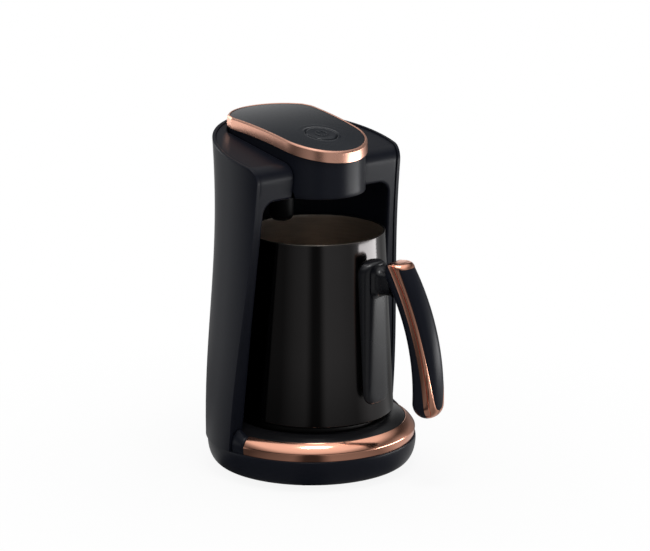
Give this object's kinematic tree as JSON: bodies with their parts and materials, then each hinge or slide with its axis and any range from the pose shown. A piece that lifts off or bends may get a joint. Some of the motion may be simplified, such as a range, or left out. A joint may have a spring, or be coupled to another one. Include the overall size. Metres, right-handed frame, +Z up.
{
  "type": "electric coffee maker",
  "caption": "Electric maker for pot coffee: waisted black tower with an open bay over a heated base, rose gold lid band and base ring, push button, and a lift-out pot with a bowed grip",
  "frame": {"origin": "on the floor plane at the centre of the round foot, under the axis of the shell", "axes": "+Z up, -Y to the front where the bay opens, +X to the machine's right"},
  "size_m": [0.1528, 0.1885, 0.251],
  "materials": {
    "satin_black": "satin",
    "gloss_black": "polished",
    "rose_gold": "polished rose gold plating",
    "dark_steel": "polished dark nickel",
    "plate_coat": "satin heatproof coat",
    "bright_steel": "brushed",
    "rubber": "matte",
    "board_green": "satin",
    "light_guide": "milky",
    "lens": "polished"
  },
  "bodies": {
    "machine": {"rubber_feet": "rubber", "bottom_cover": "satin_black", "base_screws": "bright_steel", "base_casing": "satin_black", "cord_bush": "rubber", "power_board": "board_green", "power_relay": "gloss_black", "heat_shield": "bright_steel", "heating_element": "bright_steel", "thermostat": "bright_steel", "plate_gasket": "rubber", "hot_plate": "plate_coat", "base_deck": "gloss_black", "base_ring_trim": "rose_gold", "rear_shell": "satin_black", "shell_screws": "bright_steel", "front_frame": "satin_black", "head_housing": "satin_black", "head_screws": "bright_steel", "overflow_probe": "gloss_black", "probe_lens": "lens", "lid_trim": "rose_gold", "top_panel": "satin_black", "light_guide": "light_guide", "control_board": "board_green", "board_screws": "bright_steel", "button_switch": "bright_steel", "buzzer": "gloss_black"},
    "button": {"power_button": "satin_black"},
    "pot": {"pot_body": "dark_steel", "pot_disc": "bright_steel", "handle_bracket": "gloss_black", "handle_arm": "gloss_black", "grip_inner": "satin_black", "grip_outer": "satin_black", "handle_trim": "rose_gold", "handle_screws": "bright_steel"}
  },
  "joints": [
    {"name": "button_press", "type": "slide", "parent": "machine", "child": "button", "axis": [0, 0.1984, -0.9801], "range_m": [0, 0.001], "stiffness_N_per_m": 500, "springref_m": -0.001},
    {"name": "pot_slide", "type": "slide", "parent": "machine", "child": "pot", "axis": [0, -1, 0], "range_m": [0, 0.2]}
  ]
}
